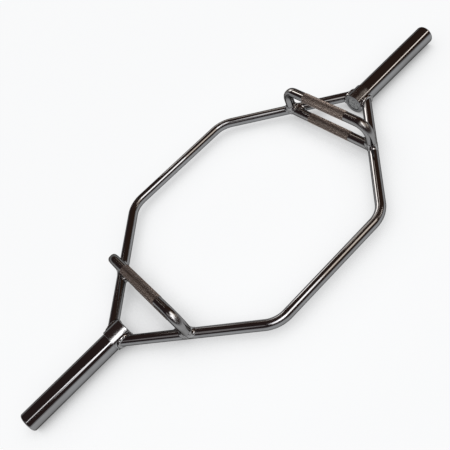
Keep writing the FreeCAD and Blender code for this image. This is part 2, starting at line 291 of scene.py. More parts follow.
def rounded_line(
    corners: list[Pair],
    radii: list[float],
    step: float,
    arc_count: int = 8,
    guard: float = 0.15 * MM,
) -> Line:
    """Straight runs through corners, with an arc at each inner corner.

    An arc leaves the incoming run at radius times the tangent of half the turn before the corner. Its
    points are centre - radius * (normal cos a - direction sin a), for a from zero to the turn.

    Args:
        corners: of the line.
        radii: of the arcs, one for each inner corner.
        step: about the most between two points of a straight run.
        arc_count: of points inside each arc.
        guard: from an arc to the next point of a run, see stations().

    Returns:
        The sampled curve.
    """
    places = np.array(corners)
    runs = np.diff(places, axis=0)
    spans = np.linalg.norm(runs, axis=1)
    ways = unit(runs)
    cross = ways[:-1, 0] * ways[1:, 1] - ways[:-1, 1] * ways[1:, 0]
    turns = np.arctan2(cross, np.sum(ways[:-1] * ways[1:], axis=1))
    setbacks = np.concatenate([[0.0], np.array(radii) * np.tan(np.abs(turns) / 2), [0.0]])
    points = []
    tangents = []
    for index, way in enumerate(ways):
        start = places[index] + way * setbacks[index]
        along = stations(spans[index] - setbacks[index] - setbacks[index + 1], step, guard)
        points.append(start + along[:, None] * way)
        tangents.append(np.repeat(way[None], len(along), axis=0))
        if index == len(turns):
            break
        normal = np.sign(turns[index]) * np.array([-way[1], way[0]])
        bend = np.linspace(0, abs(turns[index]), arc_count + 2)[1:-1, None]
        centre = places[index + 1] - way * setbacks[index + 1] + normal * radii[index]
        points.append(centre - radii[index] * (normal * np.cos(bend) - way * np.sin(bend)))
        tangents.append(way * np.cos(bend) + normal * np.sin(bend))
    joined = np.concatenate(points)
    steps = np.linalg.norm(np.diff(joined, axis=0), axis=1)
    return Line(joined, np.concatenate(tangents), np.concatenate([[0.0], np.cumsum(steps)]))


@dataclass
class Skin:
    """A closed surface on a grid of two parameters: rows go along it and columns round it.

    Attributes:
        points: of shape (rows, columns, 3).
        grain: coordinates of the straightened piece, which patterns follow, of the same shape.
        crest: height of each point in a cut pattern, from 0 to 1, of shape (rows, columns) or one for all.
        bend: how far into a bend each point lies, from 0 to 1, likewise.
        ring: whether the last row joins the first; otherwise the first and last rows are poles.
        faceted: whether each cell is two flat triangles, split between its lower corners.
    """

    points: np.ndarray
    grain: np.ndarray
    crest: np.ndarray | float = 1.0
    bend: np.ndarray | float = 0.0
    ring: bool = False
    faceted: bool = False

    def each(self, values: np.ndarray | float) -> np.ndarray:
        """A value for each point, as one row."""
        return np.broadcast_to(values, self.points.shape[:2]).reshape(-1)

    def at(self, end: End) -> "Skin":
        """The skin of a right-hand piece at either end: the left one is turned half round the vertical."""
        turn = np.array([end.value, end.value, 1.0])
        return replace(self, points=self.points * turn)

    def cells(self) -> tuple[np.ndarray, np.ndarray]:
        """Corner numbers of the cells, facing outwards.

        The signed volume under the cells is a sum of triple products of their corners. Where it is
        negative the grid runs inside out, and each cell's corners are taken in reverse.

        Returns:
            Triangles of shape (m, 3) and quads of shape (n, 4).
        """
        rows, columns = self.points.shape[:2]
        numbers = np.arange(rows * columns).reshape(rows, columns)
        if not self.ring:
            numbers[0] = numbers[0, 0]
            numbers[-1] = numbers[-1, 0]
        here = numbers if self.ring else numbers[:-1]
        ahead = np.roll(numbers, -1, axis=0) if self.ring else numbers[1:]
        quads = np.stack([here, np.roll(here, -1, 1), np.roll(ahead, -1, 1), ahead], axis=-1)
        first, second, third, fourth = np.moveaxis(self.points.reshape(-1, 3)[quads], -2, 0)
        if np.sum(first * (np.cross(second, third) + np.cross(third, fourth))) < 0:
            quads = quads[..., ::-1]
        if self.faceted:
            return self.split(quads.reshape(-1, 4)), np.empty((0, 4), dtype=int)
        if self.ring:
            return np.empty((0, 3), dtype=int), quads.reshape(-1, 4)
        polar = quads[[0, -1]].reshape(-1, 4)
        doubled = polar == np.roll(polar, -1, axis=1)
        return polar[~doubled].reshape(-1, 3), quads[1:-1].reshape(-1, 4)

    def split(self, cells: np.ndarray) -> np.ndarray:
        """Two triangles for each cell, cut along the diagonal whose corners lie lower.

        Args:
            cells: corner numbers, of shape (n, 4).

        Returns:
            Triangles of shape (2 n, 3).
        """
        height = self.each(self.crest)[cells]
        high_diagonal = (height[:, 0] + height[:, 2]) > (height[:, 1] + height[:, 3])
        cut = np.where(high_diagonal[:, None], np.roll(cells, -1, axis=1), cells)
        return np.concatenate([cut[:, [0, 1, 2]], cut[:, [0, 2, 3]]])


def make_mesh(name: str, skins: list[Skin]) -> bpy.types.Mesh:
    """One mesh of several skins, with their grain, crest and bend as attributes of its points.

    Args:
        name: of the mesh.
        skins: the closed surfaces.

    Returns:
        The mesh.
    """
    sizes = [skin.points[..., 0].size for skin in skins]
    starts = np.concatenate([[0], np.cumsum(sizes)[:-1]])
    cells = [skin.cells() for skin in skins]
    triangles, quads = (
        np.concatenate([part[kind] + start for part, start in zip(cells, starts)]) for kind in (0, 1)
    )
    points = np.concatenate([skin.points.reshape(-1, 3) for skin in skins])
    grain = np.concatenate([skin.grain.reshape(-1, 3) for skin in skins])
    layers = {
        CREST: np.concatenate([skin.each(skin.crest) for skin in skins]),
        BEND: np.concatenate([skin.each(skin.bend) for skin in skins]),
    }
    used = np.zeros(len(points), dtype=bool)
    used[triangles.ravel()] = True
    used[quads.ravel()] = True
    renumbered = np.cumsum(used) - 1
    mesh = bpy.data.meshes.new(name)
    faces = renumbered[triangles].tolist() + renumbered[quads].tolist()
    mesh.from_pydata(points[used].tolist(), [], faces)
    smooth = not any(skin.faceted for skin in skins)
    mesh.polygons.foreach_set("use_smooth", np.full(len(faces), smooth))
    grain_layer = mesh.attributes.new(GRAIN, "FLOAT_VECTOR", "POINT")
    grain_layer.data.foreach_set("vector", grain[used].astype(np.float32).ravel())
    for layer_name, values in layers.items():
        layer = mesh.attributes.new(layer_name, "FLOAT", "POINT")
        layer.data.foreach_set("value", values[used].astype(np.float32))
    mesh.update()
    return mesh


@dataclass(frozen=True)
class Press:
    """How bending presses the outer side of a bar flatter.

    Attributes:
        depth: on the outermost line in a bend's middle, as a share of the bar's radius.
        power: of the cosine of half the angle from that line; a higher one keeps to a narrower strip.
        run: twice the length over which it sets in at a bend's ends, and no longer than the bend.
    """

    depth: float = 0.15
    power: int = 18
    run: float = 50 * MM

    def bend(self, line: Line) -> np.ndarray:
        """How far into a bend each point of a line lies, negative where the line turns right.

        The turn over the run about a point, as a share p of the line's sharpest one, gives t = 2 p - 1,
        not below 0, and the value is t * t * (3 - 2 t).

        Args:
            line: the bar's axis.

        Returns:
            Values from -1 to 1, of shape (rows, 1), which rise smoothly from a bend's ends to its middle.
        """
        heading = np.unwrap(np.arctan2(line.tangents[:, 1], line.tangents[:, 0]))
        ahead = np.interp(line.lengths + self.run / 2, line.lengths, heading)
        behind = np.interp(line.lengths - self.run / 2, line.lengths, heading)
        turned = (ahead - behind)[:, None]
        sharpest = max(np.abs(turned).max(), STRAIGHT)
        part = np.clip(2 * np.abs(turned) / sharpest - 1, 0, 1)
        return np.sign(turned) * part**2 * (3 - 2 * part)

    def shares(self, bend: np.ndarray, turn: np.ndarray) -> np.ndarray:
        """Shares left of the radius: least at angle 0 in a left bend, and opposite in a right one."""
        outermost = np.where(bend > 0, 0.0, math.pi)
        return 1 - self.depth * np.abs(bend) * np.cos((turn - outermost) / 2) ** self.power


def round_bar(
    line: Line,
    plane: Plane,
    radius: float,
    columns: int,
    slide: np.ndarray | float = 0.0,
    press: Press = Press(),
) -> Skin:
    """A round bar along a line, closed by a pole at each end.

    A point at angle a is centre + radius * (side cos a + normal sin a), slid along the bar. In a bend the
    radius is the share that the press leaves of it.

    Args:
        line: the bar's axis.
        plane: that the axis lies in.
        radius: of the bar.
        columns: points round the bar.
        slide: distance that each point moves along the bar, of shape (rows, columns) or one for all.
        press: how its bends are flattened.

    Returns:
        The bar's skin.
    """
    centres = plane.places(line.points)[:, None]
    ways = plane.directions(line.tangents)[:, None]
    turn = angles(columns)[None]
    bend = press.bend(line)
    aside, above = circled(radius * press.shares(bend, turn), turn)
    rings = centres + np.cross(ways, plane.normal) * aside[..., None] + plane.normal * above[..., None]
    rings = rings + ways * np.asarray(slide)[..., None]
    along = np.repeat(line.lengths[:, None], columns, axis=1)
    grain = np.stack([aside, above, along], axis=-1)
    bends = np.repeat(np.abs(bend), columns, axis=1)
    return Skin(with_poles(rings), with_poles(grain), bend=with_poles(bends))


def with_poles(rows: np.ndarray) -> np.ndarray:
    """A grid with one more row at each end, all of whose points are the middle of the row beside it.

    Args:
        rows: n rows of columns, each of one value or of three coordinates.

    Returns:
        The grid, of n + 2 rows.
    """
    first = np.broadcast_to(rows[:1].mean(axis=1, keepdims=True), rows[:1].shape)
    last = np.broadcast_to(rows[-1:].mean(axis=1, keepdims=True), rows[-1:].shape)
    return np.concatenate([first, rows, last])


def turned_piece(profile: Line, height: float, columns: int, ring: bool) -> Skin:
    """A lathe shape about the sleeves' axis: (along, radius cos a, height + radius sin a).

    Args:
        profile: along and radius of the outline. For a ring its last point is its first one, and
            otherwise it starts and ends on the axis.
        height: of the axis.
        columns: points round the axis.
        ring: whether the outline is a closed loop.

    Returns:
        The piece's skin.
    """
    count = len(profile.lengths) - 1 if ring else len(profile.lengths)
    along, radius = (profile.points[:count, axis, None] for axis in (0, 1))
    flat = np.zeros((1, columns))
    aside, above = circled(radius, angles(columns)[None])
    points = np.stack([along + flat, aside, height + above], axis=-1)
    grain = np.stack([aside, above, profile.lengths[:count, None] + flat], axis=-1)
    return Skin(points, grain, ring=ring)


@dataclass(frozen=True)
class Knurl:
    """A band of cut diamonds round a grip.

    Attributes:
        width: of a diamond, round the grip.
        length: of a diamond, along the grip.
        bury: of the band's inner wall under the smooth grip.
    """

    width: float = 1.6 * MM
    length: float = 2.5 * MM
    bury: float = 0.4 * MM

    def skin(self, place: np.ndarray, low_radius: float, height: float, band: float) -> Skin:
        """Diamonds on a grid of half widths and half lengths, with a peak at every other point.

        The radius is low_radius + height where row + column is even and low_radius elsewhere. The rows
        at the band's ends stay low, and lead to an inner wall that closes the band.

        Args:
            place: the band's middle.
            low_radius: at the bottom of the cuts.
            height: of the peaks.
            band: length of the band, along Y.

        Returns:
            The band's skin.
        """
        columns = 2 * round(TURN * (low_radius + height) / self.width)
        rows = 2 * round(band / self.length) + 1
        row = np.arange(rows)[:, None]
        peak = (row + np.arange(columns)[None]) % 2 == 0
        crest = np.where(peak & (row > 0) & (row < rows - 1), 1.0, 0.0)
        wall = np.zeros((1, columns))
        crest = np.concatenate([wall, crest, wall])
        radius = low_radius + height * crest
        radius[[0, -1]] = low_radius - self.bury
        along = np.linspace(-band / 2, band / 2, rows)
        along = np.concatenate([along[:1], along, along[-1:]])[:, None] + np.zeros((1, columns))
        aside, above = circled(radius, angles(columns)[None])
        points = place + np.stack([aside, along, above], axis=-1)
        grain = np.stack([aside, above, along], axis=-1)
        return Skin(points, grain, crest=crest, ring=True, faceted=True)


@dataclass(frozen=True)
class WeldBead:
    """A rippled bead that runs along the seam of two walls.

    Attributes:
        size: reach of the bead along walls that stand square to each other.
        pitch: between two ripples.
        relief: of a ripple, as a share of the bead's radius.
        fullness: 0 for a hollow fillet that runs smoothly into both walls, 1 for a round bead.
        lag: how far a ripple's middle runs ahead of its edges, as a share of the pitch.
        thin: reach where the walls run alongside each other, as a share of the full one.
        columns: points round the bead.
        crowding: how much closer the points stand on the bead's face than inside the walls.
        least_cosine: that a wall's own cosine is taken as.
    """

    size: float
    pitch: float
    relief: float
    fullness: float
    lag: float = 0.35
    thin: float = 0.3
    columns: int = 36
    crowding: float = 0.7
    least_cosine: float = 0.1

    def skin(self, seam: np.ndarray, first_wall: np.ndarray, second_wall: np.ndarray) -> Skin:
        """The bead round a closed seam: seam + radius * (outwards cos a + across sin a).

        Its reach shrinks with the sine of the angle between the walls. A hollow fillet's radius is the
        reach times c - sqrt(c * c - 1), where c is cos a over the wall's own cosine, and at least 1. The
        bead lies between that and a circle. Each ripple is a quarter circle, steep behind and falling
        ahead, and its middle leads its edges.

        Args:
            seam: closed line of points, of shape (n, 3).
            first_wall: outward normals of one wall along the seam.
            second_wall: outward normals of the other wall.

        Returns:
            The bead's skin.
        """
        outwards = unit(first_wall + second_wall)
        way = unit(np.roll(seam, -1, axis=0) - np.roll(seam, 1, axis=0))
        across = np.cross(way, outwards)
        steps = np.linalg.norm(np.roll(seam, -1, axis=0) - seam, axis=1)
        lengths = np.cumsum(steps) - steps
        square = np.linalg.norm(np.cross(first_wall, second_wall), axis=1)
        reach = self.size * np.clip(np.sqrt(square), self.thin, 1.0)[:, None]
        even = angles(self.columns)[None]
        turn = even - self.crowding * np.sin(even)
        wall_cosine = np.linalg.norm(first_wall - second_wall, axis=1)[:, None] / 2
        ratio = np.maximum(np.cos(turn) / np.maximum(wall_cosine, self.least_cosine), 1.0)
        hollow = ratio - np.sqrt(ratio**2 - 1)
        face = reach * (hollow + self.fullness * (1 - hollow))
        ripples = round(steps.sum() / self.pitch) / steps.sum()
        phase = np.mod(lengths[:, None] * ripples - self.lag * np.cos(turn), 1.0)
        radius = face * (1 + self.relief * (np.sqrt(1 - phase**2) - 1))
        ring = outwards[:, None] * np.cos(turn)[..., None] + across[:, None] * np.sin(turn)[..., None]
        points = seam[:, None] + radius[..., None] * ring
        along = lengths[:, None] + np.zeros_like(turn)
        grain = np.stack([*circled(radius, turn), along], axis=-1)
        return Skin(points, grain, ring=True)


class NodeBoard:
    """The nodes of a material or of the room, laid out in the order that they are added.

    Attributes:
        spacing: between two nodes, in the editor's units.
        noise_roughness: how much of each octave of noise the next one keeps.
    """

    spacing: int = 220
    noise_roughness: float = 0.6

    def __init__(self, owner: bpy.types.Material | bpy.types.World) -> None:
        """Start with no nodes.

        Args:
            owner: of the nodes.
        """
        owner.use_nodes = True
        self.nodes = owner.node_tree.nodes
        self.links = owner.node_tree.links
        self.nodes.clear()

    def add(
        self, kind: str, inputs: dict[str | int, SocketValue] | None = None, **settings: str | int | bool
    ) -> bpy.types.Node:
        """Add a node.

        Args:
            kind: Blender's name of the node.
            inputs: values or output sockets for its input sockets, by name or number.
            settings: its other properties.

        Returns:
            The node.
        """
        node = self.nodes.new(kind)
        node.location = (self.spacing * len(self.nodes), 0)
        for name, value in settings.items():
            setattr(node, name, value)
        for name, value in (inputs or {}).items():
            if isinstance(value, Socket):
                self.links.new(value, node.inputs[name])
            else:
                node.inputs[name].default_value = value
        return node

    def combine(self, operation: str, first: SocketValue, second: SocketValue) -> Socket:
        """The result of a Math node on two values."""
        return self.add("ShaderNodeMath", {0: first, 1: second}, operation=operation).outputs["Value"]

    def attribute(self, name: str, output: str = "Fac") -> Socket:
        """An attribute of the mesh's points, as a number or as another output."""
        return self.add("ShaderNodeAttribute", attribute_name=name).outputs[output]

    def noise(self, vector: Socket, scale: Triple, detail: float) -> Socket:
        """Noise between 0 and 1 on stretched coordinates.

        Args:
            vector: the coordinates.
            scale: patches per metre, along each coordinate.
            detail: octaves.

        Returns:
            The noise's output socket.
        """
        mapping = self.add("ShaderNodeMapping", {"Vector": vector, "Scale": scale})
        noise = self.add("ShaderNodeTexNoise", {
            "Vector": mapping.outputs["Vector"],
            "Scale": 1.0,
            "Detail": detail,
            "Roughness": self.noise_roughness,
        })
        return noise.outputs["Fac"]

    def spread(self, value: Socket, low: float, high: float, to_low: float, to_high: float) -> Socket:
        """A value's range from low to high stretched smoothly to another range.

        Args:
            value: the socket to read.
            low: start of the range that is read.
            high: end of the range that is read.
            to_low: result at low.
            to_high: result at high.

        Returns:
            The output socket.
        """
        inputs = {"Value": value, "From Min": low, "From Max": high, "To Min": to_low, "To Max": to_high}
        node = self.add("ShaderNodeMapRange", inputs, interpolation_type="SMOOTHSTEP")
        return node.outputs["Result"]

    def blend(self, share: Socket, first: Socket | Colour, second: Socket | Colour) -> Socket:
        """A colour between two others.

        Args:
            share: of the second colour.
            first: colour or socket.
            second: colour or socket.

        Returns:
            The output socket.
        """
        node = self.add("ShaderNodeMix", data_type="RGBA")
        colours = [socket for socket in node.inputs if socket.type == "RGBA"]
        self.links.new(share, node.inputs["Factor"])
        for socket, value in zip(colours, (first, second)):
            if isinstance(value, Socket):
                self.links.new(value, socket)
            else:
                socket.default_value = (*value, 1.0)
        return next(socket for socket in node.outputs if socket.type == "RGBA")


@dataclass(frozen=True)
class Chrome:
    """Plated steel with the fine lines that a polishing wheel or a lathe left round the piece.

    Attributes:
        name: of the material.
        slot: the record's slot that it stands for. Not used.
        clean: tint of clean plate.
        hazy: tint under a thin film.
        smooth: roughness of clean plate.
        dull: roughness under a film.
        film_patches: per metre.
        line_count: of tool lines per metre along the piece.
        line_depth: of the tool lines.
        scratch_share: how much scratches roughen the plate.
        bend_share: how much bending roughens the plate.
        rim: share of the light that plate keeps where it is seen edge on.
        film_range: noise at which the film sets in and is full.
        line_patches: per metre round the piece.
        scratch_patches: per metre along each coordinate of the grain.
        scratch_range: noise at which scratches set in and are full.
        octaves: of the noise of film, tool lines and scratches.
    """

    name: str
    slot: Slot
    clean: Colour
    hazy: Colour
    smooth: float
    dull: float
    film_patches: float
    line_count: float
    line_depth: float
    scratch_share: float
    bend_share: float = 0.0
    rim: Colour = (0.2, 0.19, 0.18)
    film_range: Pair = (0.42, 0.68)
    line_patches: float = 45.0
    scratch_patches: Triple = (900.0, 900.0, 55.0)
    scratch_range: Pair = (0.66, 0.76)
    octaves: Triple = (5.0, 3.0, 2.0)

    def material(self) -> bpy.types.Material:
        """Build the material.

        Returns:
            The material.
        """
        material = bpy.data.materials.new(self.name)
        board = NodeBoard(material)
        grain = board.attribute(GRAIN, "Vector")
        place = board.add("ShaderNodeTexCoord").outputs["Object"]
        film_octaves, line_octaves, scratch_octaves = self.octaves
        patches = board.noise(place, (self.film_patches,) * 3, film_octaves)
        film = board.spread(patches, *self.film_range, 0.0, 1.0)
        line_scale = (self.line_patches, self.line_patches, self.line_count)
        lines = board.noise(grain, line_scale, line_octaves)
        marks = board.noise(grain, self.scratch_patches, scratch_octaves)
        scratches = board.spread(marks, *self.scratch_range, 0.0, self.scratch_share)
        colour = self.colour(board, board.blend(film, self.clean, self.hazy))
        roughness = board.spread(film, 0.0, 1.0, self.smooth, self.dull)
        worn = board.combine("ADD", roughness, scratches)
        if self.bend_share:
            bent = board.combine("MULTIPLY", board.attribute(BEND), self.bend_share)
            worn = board.combine("ADD", worn, bent)
        bump = board.add("ShaderNodeBump", {"Strength": 1.0, "Distance": self.line_depth, "Height": lines})
        shader = board.add("ShaderNodeBsdfPrincipled", {
            "Base Color": colour,
            "Metallic": 1.0,
            "Specular Tint": (*self.rim, 1.0),
            "Roughness": self.roughness(board, worn),
            "Normal": bump.outputs["Normal"],
        })
        board.add("ShaderNodeOutputMaterial", {"Surface": shader.outputs["BSDF"]})
        return material

    def colour(self, board: NodeBoard, plate: Socket) -> Socket:
        """The tint of the plate, as it is."""
        return plate

    def roughness(self, board: NodeBoard, plate: Socket) -> Socket:
        """The roughness of the plate, as it is."""
        return plate


@dataclass(frozen=True)
class KnurledChrome(Chrome):
    """Plate over cut diamonds, darker and rougher at the bottom of the cuts.

    Attributes:
        grime: darker tint at the bottom of the cuts.
        grime_roughness: roughness there.
        grime_range: heights at which the darker tint starts to thin and is gone.
    """

    # Darker, rougher tint at the bottom of the cuts, blended in by the points' crest height.
    grime: Colour = (0.16, 0.13, 0.115)
    grime_roughness: float = 0.55
    grime_range: Pair = (0.05, 0.75)

    def colour(self, board: NodeBoard, plate: Socket) -> Socket:
        """The plate's tint at the peaks and a darker tint in the cuts."""
        share = board.spread(board.attribute(CREST), *self.grime_range, 0.0, 1.0)
        return board.blend(share, self.grime, plate)

    def roughness(self, board: NodeBoard, plate: Socket) -> Socket:
        """The plate's roughness at the peaks and a rougher one in the cuts."""
        inputs = {"Factor": board.attribute(CREST), "A": self.grime_roughness, "B": plate}
        return board.add("ShaderNodeMix", inputs, data_type="FLOAT").outputs["Result"]


POLISHED = Chrome(
    name="polished_chrome",
    slot=Slot.POLISHED,
    clean=(0.258, 0.260, 0.266),
    hazy=(0.232, 0.232, 0.236),
    smooth=0.05,
    dull=0.09,
    film_patches=14.0,
    line_count=2200.0,
    line_depth=0.0012 * MM,
    scratch_share=0.05,
    bend_share=0.12,
)
SATIN = Chrome(
    name="satin_chrome",
    slot=Slot.KNURLED,
    clean=(0.262, 0.261, 0.263),
    hazy=(0.234, 0.231, 0.231),
    smooth=0.10,
    dull=0.15,
    film_patches=20.0,
    line_count=1800.0,
    line_depth=0.0015 * MM,
    scratch_share=0.06,
    bend_share=0.15,
)
TURNED = Chrome(
    name="turned_chrome",
    slot=Slot.TURNED,
    clean=(0.290, 0.292, 0.297),
    hazy=(0.240, 0.240, 0.242),
    smooth=0.16,
    dull=0.27,
    film_patches=60.0,
    line_count=2600.0,
    line_depth=0.006 * MM,
    scratch_share=0.08,
)
SAWN = Chrome(
    name="sawn_chrome",
    slot=Slot.TURNED,
    clean=(0.370, 0.376, 0.376),
    hazy=(0.130, 0.130, 0.132),
    smooth=0.12,
    dull=0.34,
    film_patches=210.0,
    line_count=1200.0,
    line_depth=0.02 * MM,
    scratch_share=0.10,
)
KNURLED = KnurledChrome(
    name="knurled_chrome",
    slot=Slot.KNURLED,
    clean=(0.600, 0.525, 0.478),
    hazy=(0.490, 0.426, 0.386),
    smooth=0.36,
    dull=0.50,
    film_patches=40.0,
    line_count=1500.0,
    line_depth=0.002 * MM,
    scratch_share=0.05,
)
WELD = Chrome(
    name="weld_chrome",
    slot=Slot.WELD,
    clean=(0.340, 0.340, 0.344),
    hazy=(0.200, 0.196, 0.195),
    smooth=0.06,
    dull=0.16,
    film_patches=120.0,
    line_count=900.0,
    line_depth=0.003 * MM,
    scratch_share=0.04,
)


def add_object(name: str, data: bpy.types.ID) -> bpy.types.Object:
    """Add an object to the scene, at the origin.

    Args:
        name: of the object.
        data: its mesh, lamp or camera.

    Returns:
        The object.
    """
    added = bpy.data.objects.new(name, data)
    bpy.context.scene.collection.objects.link(added)
    return added


class Workshop:
    """Makes each finish once and adds dressed pieces to the bar."""

    def __init__(self) -> None:
        """Start with no finishes made."""
        self.materials: dict[str, bpy.types.Material] = {}

    def add(self, name: str, skins: list[Skin], finish: Chrome, nodes: tuple[str, ...] = ()) -> None:
        """Add a piece to the bar's body.

        Args:
            name: of the piece.
            skins: its closed surfaces.
            finish: of the piece.
            nodes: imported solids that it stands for.
        """
        piece = add_object(name, make_mesh(name, skins))
        if finish.name not in self.materials:
            self.materials[finish.name] = finish.material()
        piece.data.materials.append(self.materials[finish.name])
        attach(piece, BODY)
        if nodes:
            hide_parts(*nodes)
        LOG.info("%s: %d faces, %s", name, len(piece.data.polygons), finish.name)


@dataclass
class SideBar:
    """One long bar of the hexagon: a straight run, two bends, and two legs that end at the collars.

    Attributes:
        layout: shared places.
        side: of the hexagon.
        bend_radius: of the bar's axis at its corners.
        bend_count: of rings inside each bend.
        press: how its bends are flattened.
        bury: how far the coped ends go into the collars' walls.
        cope_run: length over which an end takes its coped shape.
        step: between rings along the bar.
        columns: points round the bar.
    """

    layout: Layout
    side: Side
    bend_radius: float = 70 * MM
    bend_count: int = 24
    press: Press = Press(depth=0.05, run=30 * MM)
    bury: float = 1 * MM
    cope_run: float = 60 * MM
    step: float = 8 * MM
    columns: int = 96

    def skin(self) -> Skin:
        """The bar along its bent axis, with both ends slid along it to the collars' walls.

        Returns:
            The bar's skin.
        """
        layout = self.layout
        on_axis = layout.collar_radius / math.sin(layout.leg_angle)
        end_x = layout.leg_cross - on_axis * math.cos(layout.leg_angle)
        end_y = self.side.value * layout.collar_radius
        run_y = self.side.value * layout.half_width
        corners = [(-end_x, end_y), (-layout.corner_x, run_y), (layout.corner_x, run_y), (end_x, end_y)]
        line = rounded_line(corners, [self.bend_radius] * 2, self.step, self.bend_count)
        plane = Plane(UP * layout.axis_height, ALONG, ACROSS)
        turn = angles(self.columns)
        outwards = turn if self.side is Side.FRONT else math.pi - turn
        cope = on_axis - layout.leg_to_collar(outwards, layout.collar_radius - self.bury)
        from_end = line.lengths[-1] - line.lengths
        into_start = np.clip(1 - line.lengths / self.cope_run, 0, 1)
        into_end = np.clip(1 - from_end / self.cope_run, 0, 1)
        slide = (into_end - into_start)[:, None] * cope[None]
        return round_bar(line, plane, layout.bar_radius, self.columns, slide, self.press)

    def dress(self, workshop: Workshop) -> None:
        """Add the bar with its finish."""
        label = self.side.label
        workshop.add(f"{label}_bent_bar", [self.skin()], POLISHED, (f"{label}_side_bar",))


@dataclass
class SleeveEnd:
    """A collar with the plate sleeve that it holds and the discs that close the sleeve.

    Attributes:
        layout: shared places.
        end: of the bar.
        collar_chamfer: on the collar's outer edges.
        seat_step: how far the sleeve is turned down inside the collar.
        groove: width of the turned-down sleeve that shows beside the collar.
        clearance: of the sleeve in the collar, and of a disc in the sleeve.
        wall: of the sleeve.
        end_radius: rounding of the sleeve's outer edge.
        recess: of a disc in its end of the sleeve.
        inner_thickness: of the disc at the inner end.
        outer_thickness: of the disc at the outer end.
        disc_chamfer: round a disc's face.
        centre_radius: of the lathe's centre mark in a disc's face.
        edge: rounding of the other turned edges.
        groove_edge: rounding of the groove's edges.
        disc_edge: rounding of a disc's edges.
        guard: between a rounding and the next ring, see stations().
        step: between rings along a piece.
        columns: points round a piece.
    """

    layout: Layout
    end: End
    collar_chamfer: float = 0.6 * MM
    seat_step: float = 0.5 * MM
    groove: float = 1.5 * MM
    clearance: float = 0.05 * MM
    wall: float = 6 * MM
    end_radius: float = 4 * MM
    recess: float = 1 * MM
    inner_thickness: float = 6 * MM
    outer_thickness: float = 8 * MM
    disc_chamfer: float = 1 * MM
    centre_radius: float = 1.6 * MM
    edge: float = 0.3 * MM
    groove_edge: float = 0.1 * MM
    disc_edge: float = 0.15 * MM
    guard: float = 0.1 * MM
    step: float = 12 * MM
    columns: int = 128

    def lathe(self, corners: list[Pair], radii: list[float], ring: bool) -> Skin:
        """A turned piece at this end, from its outline's corners and their roundings."""
        profile = rounded_line(corners, radii, self.step, guard=self.guard)
        return turned_piece(profile, self.layout.axis_height, self.columns, ring).at(self.end)

    def collar(self) -> Skin:
        """The turned ring, chamfered at both ends.

        Returns:
            The collar's skin.
        """
        layout = self.layout
        bore = layout.sleeve_radius - self.seat_step + self.clearance
        shoulder = layout.collar_radius - self.collar_chamfer
        middle = (layout.collar_inner + layout.collar_outer) / 2
        corners = [
            (middle, bore),
            (layout.collar_inner, bore),
            (layout.collar_inner, shoulder),
            (layout.collar_inner + self.collar_chamfer, layout.collar_radius),
            (layout.collar_outer - self.collar_chamfer, layout.collar_radius),
            (layout.collar_outer, shoulder),
            (layout.collar_outer, bore),
            (middle, bore),
        ]
        return self.lathe(corners, [self.edge] * 6, ring=True)

    def sleeve(self) -> Skin:
        """The tube that plates slide on, stepped at the collar and rounded at its outer edge.

        Returns:
            The sleeve's skin.
        """
        layout = self.layout
        bore = layout.sleeve_radius - self.wall
        seat = layout.sleeve_radius - self.seat_step
        middle = (layout.collar_inner + layout.sleeve_end) / 2
        corners = [
            (middle, bore),
            (layout.collar_inner, bore),
            (layout.collar_inner, seat),
            (layout.collar_outer + self.groove, seat),
            (layout.collar_outer + self.groove, layout.sleeve_radius),
            (layout.sleeve_end, layout.sleeve_radius),
            (layout.sleeve_end, bore),
            (middle, bore),
        ]
        radii = [self.edge] * 2 + [self.groove_edge] * 2 + [self.end_radius, self.edge]
        return self.lathe(corners, radii, ring=True)

    def disc(self, face: float, inwards: float, thickness: float) -> Skin:
        """A disc in the sleeve's bore, with a chamfered face and a centre mark.

        Args:
            face: X of the face that shows.
            inwards: 1 or -1, the way from the face into the sleeve.
            thickness: of the disc.

        Returns:
            The disc's skin.
        """
        radius = self.layout.sleeve_radius - self.wall - self.clearance
        back = face + inwards * thickness
        corners = [
            (back, 0.0),
            (back, radius),
            (face + inwards * self.disc_chamfer, radius),
            (face, radius - self.disc_chamfer),
            (face, self.centre_radius),
            (face + inwards * self.centre_radius, 0.0),
        ]
        return self.lathe(corners, [self.disc_edge] * 4, ring=False)

    def dress(self, workshop: Workshop) -> None:
        """Add the collar, the sleeve and both discs with their finishes.

        Args:
            workshop: that adds the pieces.
        """
        layout = self.layout
        label = self.end.label
        inner = self.disc(layout.collar_inner + self.recess, 1, self.inner_thickness)
        outer = self.disc(layout.sleeve_end - self.recess, -1, self.outer_thickness)
        workshop.add(f"{label}_collar_ring", [self.collar()], TURNED, (f"{label}_collar",))
        workshop.add(f"{label}_plate_sleeve", [self.sleeve()], POLISHED, (f"{label}_sleeve",))
        workshop.add(f"{label}_inner_disc", [inner], SAWN, (f"{label}_inner_plug",))
        workshop.add(f"{label}_outer_disc", [outer], SAWN, (f"{label}_outer_plug",))


